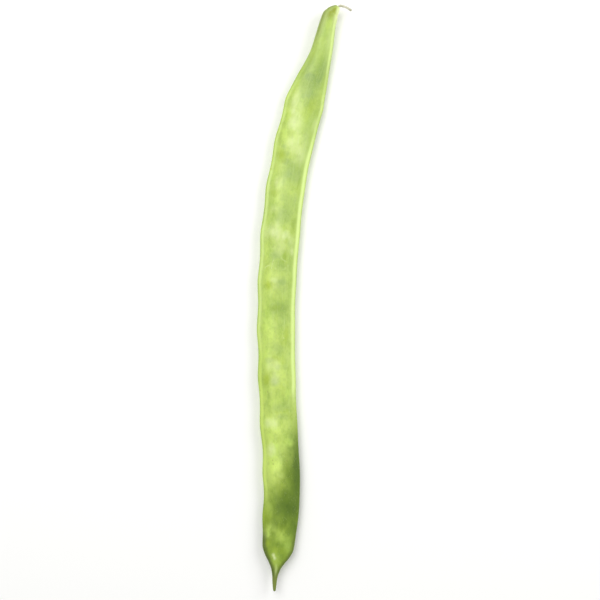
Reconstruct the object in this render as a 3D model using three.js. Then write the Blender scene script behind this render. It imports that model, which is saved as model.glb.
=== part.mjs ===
import * as THREE from 'three';

// A flat green bean, as picked, lying on its side. Millimetres, with X to the right, Y from the
// beak to the stem end and Z up. The pod's lowest flat spots are at Z = 0, and the box of the whole
// bean is centred on X and Y.

// Midline of the pod in plan, from the tip of the beak to the stem end
const MIDLINE = [
  [-12.2, 0], [-12.1, 5], [-10.5, 19.5], [-9.1, 44], [-10.9, 84], [-11.1, 128], [-7, 173],
  [0.6, 206.2], [7.5, 227.2], [10.4, 240.1], [11.7, 243.6], [14.6, 246.9],
];

// Profiles along the midline, as [distance from the tip of the beak, value]
const HALF_WIDTH = [
  [0, 0], [0.12, 0.35], [0.5, 0.55], [3, 0.85], [6, 1.15], [9, 1.85], [12, 3.4], [15, 5.35], [18.5, 6.7],
  [23, 7.05], [38, 7.8], [70, 7.85], [130, 8.1], [150, 8.25], [180, 8.15], [206, 8.3], [212, 7.65],
  [218, 6.75], [224, 5.6], [230, 4.7], [236, 4.15], [242, 3.6], [246, 3.35], [249, 2.3],
  [250.4, 1.55], [250.9, 1.2],
];
const HALF_THICKNESS = [
  [0, 0], [0.12, 0.28], [0.5, 0.42], [6, 0.8], [12, 1.5], [20, 2.4], [33, 3.05], [60, 3.3],
  [120, 3.4], [190, 3.35], [212, 3.15], [225, 2.9], [236, 2.75], [246, 2.6], [249, 2.2],
  [250.4, 1.6], [250.9, 1.2],
];
const MIDLINE_HEIGHT = [
  [0, 4.4], [12, 3.9], [22, 3.3], [30, 3.12], [50, 3.42], [72, 3.55], [150, 3.6], [190, 3.48],
  [209, 3.15], [218, 3.45], [236, 4.7], [251, 5.5],
];
const ROLL_DEG = [[0, -6], [30, 0], [200, 0], [251, 10]];
// 0 is an oval section and 1 a flat lens with thin edges
const FLATNESS = [[0, 0], [8, 0], [22, 1], [206, 1], [226, 0.25], [240, 0]];
const SUTURE_RADIUS = [[0, 0.1], [6, 0.3], [18, 0.8], [215, 0.85], [240, 0.55], [249, 0.2], [251, 0.05]];

// 1 in the upper part of the pod, where the seeds are flatter and the lines beside the sutures fade
const UPPER_END = [[160, 0], [200, 1]];

// Seeds swell both faces and push the edges out a little
const SEED = {
  count: 10, first: 29.5, pitch: 20.7, pitchLoss: 0.08,
  rise: 0.45, riseVariation: 0.1, upperLoss: 0.45, reachAlong: 5.5, reachAcross: 0.45,
};
const EDGE_WAVE = { reach: 6, left: 0.6, right: 0.14, from: 22, to: 218, fade: 12 };
const FACE_WAVE = { rise: 0.08, along: 0.21, across: 0.34 };

// The right suture is split by a groove, and a fine line runs inside each suture
const SUTURE_GROOVE = { depth: 0.22, halfWidth: 0.28 };
const SUTURE_LINE = { depth: 0.05, upperLoss: 0.5, halfWidth: 0.4, inset: 1.95 };

// The stem end is a blunt knob with a ring-shaped scar and a cup where the dry stalk is rooted
const SCAR = { at: 247.3, depth: 0.16, halfLength: 0.5 };
const CUP = { top: 250.95, bottom: 249.6, rimRadius: 0.95, radius: 0.8, floorRadius: 0.55 };
const STALK_GAP = 0.4;
const STALK = { rootRadius: 0.45, tipRadius: 0.42, sides: 8, rows: 16 };
const STALK_REACH = [[1.3, 0.35, 0.15], [3.2, -0.25, 0.25], [5.8, -1.7, 0.2]];

// Rows of the pod as [from, to, number of rows], and points in a quarter of each row
const ROW_ZONES = [
  [0.12, 0.5, 2], [0.5, 6, 6], [6, 22, 12], [22, 212, 74], [212, 244, 14], [244, 249, 4],
  [249, 250.9, 4],
];
const QUARTER = 10;
const SUTURE_STEPS = [0, 0.134, 0.5, 1, 1.5, 1.95];

// Monotone cubic through the knots of a profile, with no overshoot between them
function profile(knots) {
  const rate = knots.slice(1).map(([s, v], i) => (v - knots[i][1]) / (s - knots[i][0]));
  const tangents = knots.map((_, i) => {
    const before = rate[i - 1] ?? rate[i];
    const after = rate[i] ?? rate[i - 1];
    return before * after > 0 ? (2 * before * after) / (before + after) : 0;
  });
  return (s) => {
    const next = knots.findIndex(([end]) => end >= s);
    const b = next < 0 ? knots.length - 1 : Math.max(next, 1);
    const [start, from] = knots[b - 1];
    const span = knots[b][0] - start;
    const t = THREE.MathUtils.clamp((s - start) / span, 0, 1);
    const [ta, tb] = [tangents[b - 1] * span, tangents[b] * span];
    const rise = knots[b][1] - from;
    return from + t * (ta + t * (3 * rise - 2 * ta - tb + t * (ta + tb - 2 * rise)));
  };
}

const halfWidth = profile(HALF_WIDTH);
const halfThickness = profile(HALF_THICKNESS);
const midlineHeight = profile(MIDLINE_HEIGHT);
const rollDeg = profile(ROLL_DEG);
const flatness = profile(FLATNESS);
const sutureRadius = profile(SUTURE_RADIUS);
const upperEnd = profile(UPPER_END);

const midline = new THREE.CatmullRomCurve3(
  MIDLINE.map(([x, y]) => new THREE.Vector3(x, y, 0)), false, 'centripetal');
midline.arcLengthDivisions = 2400;
const podLength = midline.getLength();

const bell = (x, reach) => Math.exp(-((x / reach) ** 2));
const { clamp, degToRad, lerp } = THREE.MathUtils;

// Where each seed lies and how far it swells the faces
const seeds = Array.from({ length: SEED.count }, (_, k) => ({
  at: SEED.first + SEED.pitch * k - SEED.pitchLoss * k * k,
  rise: SEED.rise + SEED.riseVariation * Math.sin(2.4 * k + 0.8),
}));

// How far the seeds push out the edge at a station: about -0.5 between two seeds and 0.5 beside one
function edgeWave(s) {
  const { reach, from, to, fade } = EDGE_WAVE;
  const swell = seeds.reduce((sum, seed) => sum + bell(s - seed.at, reach), 0);
  return (swell - 0.5) * clamp((s - from) / fade, 0, 1) * clamp((to - s) / fade, 0, 1);
}

// Frame of the section at a station: its centre, and unit vectors across the pod and up its face
function sectionFrame(s) {
  const share = clamp(s / podLength, 0, 1);
  const centre = midline.getPointAt(share).setZ(midlineHeight(s));
  const along = midline.getTangentAt(share);
  const roll = degToRad(rollDeg(s));
  const across = new THREE.Vector3(along.y, -along.x, 0).applyAxisAngle(along, roll);
  const up = new THREE.Vector3(0, 0, 1).applyAxisAngle(along, roll);
  return { centre, across, up };
}

// Half-thickness of the section at a distance x from the midline, where its edge is at distance edge:
// a lens joined to a round suture bead, with the seed swellings and the line beside the suture
function sectionHeight(s, x, edge) {
  const flat = flatness(s);
  const bead = sutureRadius(s);
  const u = Math.min(x / (edge - 0.55 * bead * flat), 1);
  const lens = halfThickness(s) * (1 - u ** lerp(2, 2.5, flat)) ** lerp(0.5, 0.85, flat);
  const suture = Math.sqrt(Math.max(bead ** 2 - (x - edge + bead) ** 2, 0));
  const swell = seeds.reduce((sum, seed) => sum + seed.rise * bell(s - seed.at, SEED.reachAlong), 0)
    * bell(x / edge, SEED.reachAcross) * (1 - SEED.upperLoss * upperEnd(s));
  const line = SUTURE_LINE.depth * (1 - SUTURE_LINE.upperLoss * upperEnd(s))
    * bell(x - edge + SUTURE_LINE.inset * bead, SUTURE_LINE.halfWidth);
  const wave = FACE_WAVE.rise * Math.sin(FACE_WAVE.along * s) * Math.cos(FACE_WAVE.across * x);
  const scar = SCAR.depth * bell(s - SCAR.at, SCAR.halfLength);
  return (lens ** 4 + suture ** 4) ** 0.25 + (swell + wave - line) * flat * (1 - u ** 6)
    - scar * Math.sqrt(1 - u * u);
}

// Distances of a quarter row's points from the midline, from the edge inwards: crowded on the suture
// bead where the pod is flat, and evenly spaced round an oval near its ends
function quarterOffsets(s, edge) {
  const bead = sutureRadius(s);
  const inner = edge - SUTURE_STEPS.at(-1) * bead;
  return Array.from({ length: QUARTER + 1 }, (_, j) => {
    const beside = SUTURE_STEPS.length - 1;
    const flat = j <= beside
      ? edge - SUTURE_STEPS[j] * bead
      : inner * (1 - ((j - beside) / (QUARTER - beside)) ** 1.25);
    return lerp(edge * Math.cos((j / QUARTER) * Math.PI / 2), flat, flatness(s));
  });
}

// One closed row of points round the pod, from the right edge over the top and back below
function podRow(s) {
  const { centre, across, up } = sectionFrame(s);
  const wave = edgeWave(s);
  const scar = SCAR.depth * bell(s - SCAR.at, SCAR.halfLength);
  const right = halfWidth(s) + EDGE_WAVE.right * wave - scar;
  const left = halfWidth(s) + EDGE_WAVE.left * wave - scar;
  const point = (side, edge, x, face) => {
    const z = sectionHeight(s, x, edge) * face;
    const groove = side > 0 ? SUTURE_GROOVE.depth * flatness(s) * bell(z, SUTURE_GROOVE.halfWidth) : 0;
    const atEdge = x > edge - sutureRadius(s) ? groove : 0;
    const placed = centre.clone().addScaledVector(across, side * (x - atEdge)).addScaledVector(up, z);
    return placed.setZ(Math.max(placed.z, 0));
  };
  const rightward = quarterOffsets(s, right);
  const leftward = quarterOffsets(s, left);
  const inwards = (list) => list.slice(0, -1);
  const outwards = (list) => list.slice(1).reverse();
  return [
    ...inwards(rightward).map((x) => point(1, right, x, x === right ? 0 : 1)),
    ...outwards(leftward).map((x) => point(-1, left, x, 1)),
    ...inwards(leftward).map((x) => point(-1, left, x, x === left ? 0 : -1)),
    ...outwards(rightward).map((x) => point(1, right, x, -1)),
  ];
}

// A round row of the cup in the stem end
function cupRow(s, radius) {
  const { centre, across, up } = sectionFrame(s);
  return Array.from({ length: 4 * QUARTER }, (_, j) => {
    const angle = (j / QUARTER) * Math.PI / 2;
    return centre.clone()
      .addScaledVector(across, radius * Math.cos(angle))
      .addScaledVector(up, radius * Math.sin(angle));
  });
}

// Closed skin over rows with equal numbers of points, with one point at each end
function skin(start, rows, end) {
  const count = rows[0].length;
  const points = [start, ...rows.flat(), end];
  const last = points.length - 1;
  const index = [];
  for (let j = 0; j < count; j += 1) {
    const k = (j + 1) % count;
    index.push(0, 1 + j, 1 + k);
    for (let row = 0; row < rows.length - 1; row += 1) {
      const [a, b] = [1 + row * count, 1 + (row + 1) * count];
      index.push(a + j, b + j, a + k, a + k, b + j, b + k);
    }
    index.push(last, last - count + k, last - count + j);
  }
  const geometry = new THREE.BufferGeometry().setFromPoints(points).setIndex(index);
  geometry.computeVertexNormals();
  return geometry;
}

function podGeometry() {
  const stations = ROW_ZONES.flatMap(([from, to, count]) =>
    Array.from({ length: count }, (_, i) => lerp(from, to, i / count)));
  const cup = [
    cupRow(CUP.top, CUP.rimRadius), cupRow(lerp(CUP.top, CUP.bottom, 0.2), CUP.radius),
    cupRow(lerp(CUP.top, CUP.bottom, 0.8), CUP.radius), cupRow(CUP.bottom, CUP.floorRadius),
  ];
  const rows = [...stations.map(podRow), podRow(ROW_ZONES.at(-1)[1]), ...cup];
  return skin(sectionFrame(0).centre, rows, sectionFrame(CUP.bottom).centre);
}

// The dried stalk: a thin tapered thread from the cup's floor, bent to the right of the stem end
function stalkGeometry() {
  const root = sectionFrame(CUP.bottom + STALK_GAP).centre;
  const rim = sectionFrame(podLength).centre;
  const curve = new THREE.CatmullRomCurve3([
    root, rim, ...STALK_REACH.map((step) => rim.clone().add(new THREE.Vector3(...step))),
  ]);
  const rows = Array.from({ length: STALK.rows + 1 }, (_, i) => {
    const share = i / STALK.rows;
    const centre = curve.getPointAt(share);
    const along = curve.getTangentAt(share);
    const across = along.clone().cross(new THREE.Vector3(0, 0, 1)).normalize();
    const up = across.clone().cross(along);
    const radius = lerp(STALK.rootRadius, STALK.tipRadius, share);
    return Array.from({ length: STALK.sides }, (_, j) => {
      const angle = (j / STALK.sides) * 2 * Math.PI;
      return centre.clone()
        .addScaledVector(across, radius * Math.cos(angle))
        .addScaledVector(up, radius * Math.sin(angle));
    });
  });
  return skin(root, rows, curve.getPointAt(1));
}

function pod() {
  const material = new THREE.MeshStandardMaterial({ color: 0xb1cd68, roughness: 0.45, metalness: 0 });
  const mesh = new THREE.Mesh(podGeometry(), material);
  mesh.name = 'pod';
  return mesh;
}

function dryStalk() {
  const material = new THREE.MeshStandardMaterial({ color: 0x8f866c, roughness: 0.9, metalness: 0 });
  const mesh = new THREE.Mesh(stalkGeometry(), material);
  mesh.name = 'dry_stalk';
  return mesh;
}

const pieces = new THREE.Group().add(pod(), dryStalk());
const middle = new THREE.Box3().setFromObject(pieces, true).getCenter(new THREE.Vector3());
pieces.position.set(-middle.x, -middle.y, 0);

const greenBean = new THREE.Group().add(pieces);
export default greenBean;
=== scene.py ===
"""A flat green bean on a pale floor: its mottled skin, pale sutures, seed swellings and dry stalk."""

import bpy
import numpy as np
from bpy.props import FloatProperty, FloatVectorProperty, PointerProperty
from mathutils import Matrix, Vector


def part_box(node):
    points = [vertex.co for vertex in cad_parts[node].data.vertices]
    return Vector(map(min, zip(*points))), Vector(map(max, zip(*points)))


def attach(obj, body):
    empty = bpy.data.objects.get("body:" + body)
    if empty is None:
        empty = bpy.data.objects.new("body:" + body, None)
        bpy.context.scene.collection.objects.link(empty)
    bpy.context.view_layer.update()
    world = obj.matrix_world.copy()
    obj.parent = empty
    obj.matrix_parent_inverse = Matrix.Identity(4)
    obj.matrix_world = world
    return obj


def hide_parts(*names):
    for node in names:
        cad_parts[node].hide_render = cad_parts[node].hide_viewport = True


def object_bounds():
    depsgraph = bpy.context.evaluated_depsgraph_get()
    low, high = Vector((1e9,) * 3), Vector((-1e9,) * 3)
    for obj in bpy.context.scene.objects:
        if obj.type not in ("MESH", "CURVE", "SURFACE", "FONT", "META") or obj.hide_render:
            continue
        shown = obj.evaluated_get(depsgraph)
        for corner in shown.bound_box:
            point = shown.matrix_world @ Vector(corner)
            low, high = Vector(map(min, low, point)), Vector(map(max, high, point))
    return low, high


bl_info = {
    "name": "Flat green bean",
    "version": (1, 0, 0),
    "blender": (4, 5, 0),
    "location": "View3D > Sidebar > Green bean",
    "description": "Builds a flat green bean pod, its dry stalk and a plain studio round them",
    "category": "Add Mesh",
}

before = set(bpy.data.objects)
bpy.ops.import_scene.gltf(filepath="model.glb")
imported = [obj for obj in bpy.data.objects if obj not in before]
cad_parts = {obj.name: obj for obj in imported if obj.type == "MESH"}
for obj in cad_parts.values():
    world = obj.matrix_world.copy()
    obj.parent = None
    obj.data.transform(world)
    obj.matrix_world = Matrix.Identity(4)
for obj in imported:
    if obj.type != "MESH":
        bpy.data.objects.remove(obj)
CAD_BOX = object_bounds()

MM = 0.001

# Midline of the pod in plan, in mm, from the tip of the beak to the stem end
MIDLINE = (
    (-12.2, 0), (-12.1, 5), (-10.5, 19.5), (-9.1, 44), (-10.9, 84), (-11.1, 128), (-7, 173),
    (0.6, 206.2), (7.5, 227.2), (10.4, 240.1), (11.7, 243.6), (14.6, 246.9),
)

# Profiles along the midline, as (mm from the tip of the beak, value in mm)
HALF_WIDTH = (
    (0, 0), (0.12, 0.35), (0.5, 0.55), (3, 0.85), (6, 1.15), (9, 1.85), (12, 3.4), (15, 5.35), (18.5, 6.7),
    (23, 7.05), (38, 7.8), (70, 7.85), (130, 8.1), (150, 8.25), (180, 8.15), (206, 8.3), (212, 7.65),
    (218, 6.75), (224, 5.6), (230, 4.7), (236, 4.15), (242, 3.6), (246, 3.35), (249, 2.3),
    (250.4, 1.55), (250.9, 1.2),
)
HALF_THICKNESS = (
    (0, 0), (0.12, 0.28), (0.5, 0.42), (6, 0.8), (12, 1.5), (20, 2.4), (33, 3.05), (60, 3.3),
    (120, 3.4), (190, 3.35), (212, 3.15), (225, 2.9), (236, 2.75), (246, 2.6), (249, 2.2),
    (250.4, 1.6), (250.9, 1.2),
)
MIDLINE_HEIGHT = (
    (0, 4.4), (12, 3.9), (22, 3.3), (30, 3.12), (50, 3.42), (72, 3.55), (150, 3.6), (190, 3.48),
    (209, 3.15), (218, 3.45), (236, 4.7), (251, 5.5),
)
SUTURE_RADIUS = ((0, 0.1), (6, 0.3), (18, 0.8), (215, 0.85), (240, 0.55), (249, 0.2), (251, 0.05))
ROLL_DEG = ((0, -6), (30, 0), (200, 0), (251, 10))
# 0 is an oval section and 1 a flat lens with thin edges
FLATNESS = ((0, 0), (8, 0), (22, 1), (206, 1), (226, 0.25), (240, 0))
# 1 further up the pod, where its seeds and sutures are flatter
UPPER_END = ((160, 0), (200, 1))

# The curve of a face across the pod, as powers of the share of the width and of what is left of it, for
# an oval and for a flat lens
FACE_INNER = (2, 2.5)
FACE_OUTER = (0.5, 0.85)
# How far inside the edge the lens ends, in radii of the suture, and how sharply the two are joined
LENS_INSET = 0.55
JOIN_POWER = 4
# Power by which the relief fades towards the edge
RELIEF_POWER = 6

# Seeds, in mm: how many, where the first lies, the pitch and what it loses from seed to seed
SEED_COUNT = 10
SEED_FIRST = 29.5
SEED_PITCH = 20.7
SEED_PITCH_LOSS = 0.08
# A seed's reach along in mm and across as a share of the half width, and what it loses further up
SEED_REACH_ALONG = 5.5
SEED_REACH_ACROSS = 0.45
SEED_UPPER_LOSS = 0.45
# Step from seed to seed and start, in radians, of the sine that makes some seeds fuller than others
FULLNESS_STEP = 2.4
FULLNESS_START = 0.8

# Waves that the seeds give the edges, in mm: height on the left (-1) and right (1), reach of a seed,
# the bells' sum that moves nothing, from where to where, and length of the fade at both ends
EDGE_WAVE = {-1: 0.6, 1: 0.14}
EDGE_WAVE_REACH = 6
EDGE_WAVE_MIDDLE = 0.5
EDGE_WAVE_SPAN = (22, 218)
EDGE_WAVE_FADE = 12

# Soft waves of the faces: how many sines, the ranges of their radians a mm and of their starts, and the
# seed of the draws for the upper (1) and lower (-1) face
WAVE_COUNT = 14
WAVES_ALONG = (0.1, 0.55)
WAVES_ACROSS = (-0.7, 0.7)
WAVE_STARTS = (0, 6.3)
WAVE_SEEDS = {1: 4, -1: 9}

# Sutures, in mm: depth and half width of the groove in the right one, and of the line inside each
SUTURE_GROOVE = (0.22, 0.28)
SUTURE_LINE = (0.12, 0.4)
# How far inside the edge that line lies, in radii of the suture, the share of its depth that it has on
# the left (-1) and right (1), and what it loses of this in the upper part
SUTURE_INSET = 1.95
SUTURE_LINE_SHARE = {-1: 0.5, 1: 0.3}
SUTURE_LINE_LOSS = {-1: 0.4, 1: 0}

# The stem end, in mm: place of its scar, the scar's depth and half length, and the cup as (mm from the
# tip of the beak, radius)
SCAR_AT = 247.3
SCAR = (0.16, 0.5)
CUP = ((250.95, 0.95), (250.9, 0.72), (250.7, 0.6), (250.35, 0.54), (250.1, 0.5))

# Rows of the pod's grid, as (from, to, number of rows), and points in a quarter of each row
ROW_ZONES = (
    (0.015, 0.5, 12), (0.5, 6, 30), (6, 22, 70), (22, 212, 660), (212, 244, 110), (244, 250.9, 48),
)
QUARTER = 25
# Share of a quarter's points on the suture, and the power that crowds the others towards it
EDGE_SHARE = 0.42
CROWDING = 1.25

# The stalk: its root, and its points past the rim, as (mm across, along and up from the rim's middle)
STALK_ROOT = 249.9
STALK_REACH = ((1.3, 0.35, 0.15), (3.2, -0.25, 0.25), (5.8, -1.7, 0.2))
STALK_ROWS = 110
STALK_AROUND = 28
# Ribs round the stalk, as (share of the radius, how many, radians that they twist along it, start)
STALK_RIBS = ((0.09, 5, 6, 0), (0.06, 3, -11, -np.pi / 2))
# Knots along the stalk: share of the radius, radians and start of their waves, radians of their swell
STALK_KNOTS = (0.1, 23, 1, 9)
# Shares of the length where the blunt end begins and how long its rounding is
STALK_BLUNT = (0.96, 0.045)
# Share of the radius at the root, what it gains, and the share of the length by which it has
STALK_THIN_ROOT = (0.9, 0.25, 0.3)

# Patches of the skin from the stem end down, as (mm across from the midline, mm from the tip of the
# beak, reach across, reach along, strength)
# Pale patches, partly wax and partly painted highlights, with a painted glint above the beak at 14 to 15.5
# mm
WAX_AND_HIGHLIGHT_PATCHES = (
    (1, 234, 2, 6, 0.15), (-4.4, 207, 1.8, 6, 0.5), (-2, 204, 2, 3.6, 0.2), (6.4, 200, 1, 4, 0.3),
    (-2.6, 198.5, 2.8, 5, 0.6), (0.2, 196.5, 3, 4, 0.16), (-0.8, 190, 3, 5, 0.4), (4, 187, 2.6, 7, 0.3),
    (1.6, 186, 2.6, 4, 0.25), (-3.9, 172.6, 2, 3, 0.4), (-4, 161.3, 2, 2.2, 0.35),
    (-3.4, 152, 4.2, 4, 0.5), (2.4, 151, 1.8, 2.4, 0.5), (4.6, 148.5, 1.8, 2.8, 0.3),
    (1, 146, 4.6, 4.5, 0.3), (5.4, 144, 1.2, 2.6, 0.5), (-1.6, 131.6, 1.8, 1.4, 0.35),
    (-1.2, 96.3, 3.4, 3, 0.35), (-5, 71.6, 1.6, 2.4, 0.35), (-2.6, 71.5, 2.8, 3, 0.5),
    (-4, 60.5, 2.2, 3.4, 0.6), (-1.8, 15.5, 0.8, 0.9, 0.5), (-1.35, 14.8, 0.8, 0.9, 0.4),
    (-0.9, 14.1, 0.8, 0.9, 0.6), (0.2, 8.6, 0.9, 3, 0.4),
)
# Patches brighter than the green, partly the skin's own tone and partly painted light on the seeds and the
# stem end's right
SUNNY_PATCHES = (
    (0.9, 243, 1.7, 3, 0.45), (-5.4, 201, 1.8, 4, 0.7), (-5, 193, 2, 8, 0.5), (-5.5, 175, 1.6, 4, 0.5),
    (-4.6, 163, 3, 6, 0.5), (-5.6, 155.5, 1.8, 3, 0.9), (3.7, 146, 1.6, 2, 0.5), (-5, 144, 2, 4, 0.4),
    (-4.2, 143, 2.6, 14, 0.3), (-4.8, 119, 2, 2.4, 0.6), (-4.4, 118, 2.8, 22, 0.6),
    (-3.4, 113, 3.2, 5, 0.6), (-4, 98, 2.4, 5, 0.5), (-3.6, 86, 1.8, 1.8, 0.4), (-5.4, 84, 2, 3, 0.7),
    (4.8, 84, 2, 3, 0.9), (-3, 80, 4, 4, 0.5), (-5.2, 71.5, 1.8, 3, 0.9), (-2.6, 71, 3.8, 4.4, 0.9),
    (1, 65, 4, 4, 0.3), (3.9, 63, 1.8, 1.8, 0.8), (-3, 62, 2.8, 3, 0.8), (-3.8, 60, 2.6, 15, 0.7),
    (-2.8, 55, 3, 3.4, 0.7), (1.8, 44.8, 1.9, 3, 0.13), (-5.2, 34.5, 2, 4, 0.45),
    (-3.6, 27.5, 2.4, 3.4, 0.4), (-1.5, 26.2, 2.6, 1.7, 0.2), (-5.2, 26, 2, 3.4, 0.6),
    (-5.4, 24, 2.4, 2.6, 0.8), (0, 23.5, 4, 3, 0.3), (3, 22, 3.4, 4, 0.3), (4.2, 18.5, 2, 3, 0.4),
    (-0.4, 14, 3, 5, 0.35),
)
WARM_PATCHES = (
    (-3.2, 231, 1.3, 9, 0.6), (-1.2, 214, 3, 6, 0.25), (3.6, 208, 3.4, 6, 0.6), (-4, 184, 2.8, 3, 0.9),
    (-4.8, 168, 2, 1.8, 0.5), (-3.8, 129.4, 2.6, 2.4, 0.75), (-0.6, 120, 3, 1.5, 0.5),
    (4.2, 109, 1.3, 5, 0.5), (-4.5, 89.5, 2.2, 3, 0.7), (-6.4, 30, 2.4, 6, 0.6),
    (-5.2, 20, 2, 1.8, 0.8), (0, 17.5, 5, 2, 0.4),
)
DULL_PATCHES = (
    (-3.8, 222, 2, 8, 0.6), (2.4, 222, 3.6, 7, 0.7), (-1.2, 218.5, 1.9, 2, 0.6), (0, 214, 4.4, 9, 0.9),
    (1.8, 210.5, 3.6, 4, 0.7), (2, 207, 2.4, 2.2, 0.4), (-3.8, 187.6, 1.6, 1.8, 0.55),
    (-2.4, 184.8, 2, 1.8, 0.6), (-1.2, 182, 2, 1.7, 0.5), (2.5, 176, 4, 6, 0.65),
    (-0.6, 175, 2.6, 2.8, 0.35), (0.4, 169, 2.6, 4.6, 0.3), (2.4, 166, 4, 3, 0.4),
    (0.8, 159, 3.6, 4.6, 0.6), (-1.6, 142, 2.4, 2, 0.45), (1.5, 137, 3.4, 3.6, 0.45),
    (2, 131, 2, 1.5, 0.4), (1.8, 129, 3.4, 5, 0.5), (1.6, 119.5, 4, 3.4, 0.45), (2.6, 114, 3, 4, 0.3),
    (1, 103, 2.6, 3, 0.4), (-2.6, 98, 2.6, 1.4, 0.45), (0.3, 95, 1.7, 1.5, 0.5),
    (3.2, 95, 1.6, 1.6, 0.35), (-1, 89, 2.6, 2.4, 0.8), (1, 78, 4.6, 2.4, 0.4), (1.4, 74, 4, 1.7, 0.45),
)
# Painted shadow over the lower right of the pod, softened
PAINTED_SHADOW_PATCHES = ((6.6, 50, 2, 13, 0.5), (2.8, 35.4, 5, 3.6, 0.45))
SCAR_PATCHES = ((-0.5, 248.7, 1.2, 1.7, 1.2), (-0.9, 246.2, 1.1, 1.7, 0.9))
# The stem end's right flank, with a painted highlight
PAINTED_HIGHLIGHT_PATCHES = ((1.5, 250.4, 1.9, 2.4, 0.9), (3, 248, 1.9, 7.5, 0.9))
# Thin pale rings, in the same form
SCRATCHES = ((0.8, 138.4, 3.2, 2.6, 0.3), (-4.1, 136, 1.6, 1.9, 0.5), (4, 107.3, 1.1, 0.4, 0.6))

# What the gradient of a patch loses from its middle to its reach
SPOT_FALL = 0.4
# Shares of its reach where a patch ends and where it is full
PATCH_FADE = (1.3, 0.15)
# Distances from a ring where it ends and where it is full, as shares of its reach
RING_FADE = (0.2, 0.06)
# The underside has the same kinds of patches, this many mm along from those above, and begins between
# these heights in mm over the midline
UNDERSIDE_SHIFT = 10.5
UNDERSIDE_FADE = (0.4, -0.4)

# Noises of the skin, as (cycles a metre across, along and through the pod, shift, detail,
# roughness, distortion)
NOISES = {
    "broad": ((90, 42, 90), (0, 0, 0), 2, 0.5, 0),
    "patch": ((210, 120, 210), (3, 1, 7), 3, 0.5, 0.4),
    "mottle": ((360, 230, 360), (1, 8, 2), 4, 0.55, 0),
    "fibre": ((1900, 90, 1900), (0, 0, 0), 3, 0.6, 0),
    "grain": ((1100, 800, 1100), (0, 0, 0), 3, 0.5, 0),
    "sparse": ((80, 80, 80), (5, 5, 5), 2, 0.5, 0),
}
# How far the patch and mottle noises move the edges of patches, the shares of this that the patches of
# painted shadow and those of the stem end have, and how far the patch noise moves the scratches
RAGGED = (1.3, 0.9)
RAGGED_PAINTED_SHADOW = 0.6
RAGGED_STEM = 0.4
RAGGED_SCRATCHES = 1.2

# Fades are (where it begins, where it is full) and often how strong it is then. First those by noise
WARMTH = (0.5, 0.72, 0.4)
NOISE_SHADES = {"mottle": (0.44, 0.7, 0.45), "grain": (0.46, 0.7, 0.2), "broad": (0.42, 0.64, 0.4)}
FIBRE_WAX = (0.5, 0.8, 0.15)
SCRATCH_BREAKS = (0.46, 0.54, 0.7)
# Fades by the swelling of a seed, which is about 1 on it, and how far noise and each mm to the left
# move them: painted shade between the seeds, and pale wax with painted highlights on them
PAINTED_SHADE_BETWEEN_SEEDS = (0.7, 0.1, 0.4)
PAINTED_SHADE_BETWEEN_SEEDS_NOISE = 0.4
SEED_WAX_AND_HIGHLIGHT = (0.7, 1.7, 0.45)
SEED_WAX_AND_HIGHLIGHT_NOISE = 2.4
SEED_WAX_AND_HIGHLIGHT_LEAN = 0.06
# Fades along the pod, in mm from the tip of the beak
# The lower end's darker green, partly the skin's own and partly painted shadow
LOWER_LEFT = (56, 34)
LOWER_RIGHT = (60, 36)
# The painted shadow over the lower right
PAINTED_SHADOW_TOP = (57, 34, 0.56)
PAINTED_SHADOW_BOTTOM = (19, 36)
# Where the pale wax and painted highlights on the seeds fade out towards the stem end
SEED_WAX_AND_HIGHLIGHT_TOP = (213, 204)
STEM_TINT = (239, 248, 0.75)
# The stem end's left edge, in painted shade
STEM_EDGE = (226, 240, 0.8)
# The lower end's dark edges, partly the skin's own and partly painted shade
LOW_EDGE = (31, 21)
BEAK_TINT = (10.5, 5, 0.9)
# The pale line on the right of the neck, partly the suture and partly a painted highlight
NECK_LINE = (218, 230, 0.5)
NECK_LINE_TOP = (249, 240)
SUNNY_LINE = (120, 95)
EDGE_SHADE_TOP = (245, 235)
# Fades across the pod, in mm to the right of its midline, of painted shade on the right and on the
# stem end's left
RIGHT_SHADE = (-2, 6, 0.15)
STEM_LEFT = (0.2, -1.6)
# A fade by the distance from the edge, in mm, of the painted shade along each edge
EDGE_SHADE = (0.6, 0.1)

# How far the left, right and deepest fades of the lower end climb with each mm to the right, the
# deepest being painted shadow, how many mm noise moves them and the beak's, and how strong the lower
# end's green is
LEFT_SLOPE = 0.5
RIGHT_SLOPE = 2.6
PAINTED_SHADOW_SLOPE = 3
LOWER_UNEVEN = 20
BEAK_UNEVEN = 3
LOWER_STRENGTH = 0.92
# Dark edges of the stem end, which are painted shade, and of the lower end's left and right, partly
# painted shade, in mm from the edge: reach, where they are full, how far noise moves them, and the
# lower ones' strength
STEM_EDGE_REACH = 2.7
LOW_EDGE_REACH = (2.7, 2.1)
EDGE_FULL = 0.5
EDGE_TORN = 0.8
LOW_EDGE_STRENGTH = (0.9, 0.7)

# The pale line along the left and right suture: where it starts, in mm from the tip of the beak, the
# length of its start, and from where to where it grows duller and by how much. The right one's late
# start is painted shadow, and so is part of its dulling further up
LINE_START = (34, 76)
LINE_START_LENGTH = 12
LINE_DULLER_FROM = (165, 183)
LINE_DULLER_TO = 200
LINE_LOSS = (0.7, 0.6)
# Its middle in mm from the edge, how far the right one moves further up, and how uneven both are
RIDGE = (1.15, 1.2)
RIDGE_SHIFT = 0.2
RIDGE_UNEVEN = 0.4
# Reach in mm of its glow from the edge and of its bright part from its middle, what the right one loses
# further up, where it is full, and strengths, also of the painted shade outside it
GLOW_REACH = (4.5, 3.5)
GLOW_STRENGTH = (0.2, 0.3)
BRIGHT_REACH = (0.75, 1)
BRIGHT_LOSS = 0.2
BRIGHT_FULL = 0.2
BRIGHT_STRENGTH = (0.5, 0.85)
EDGE_SHADE_STRENGTH = (0.2, 0.1)

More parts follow.
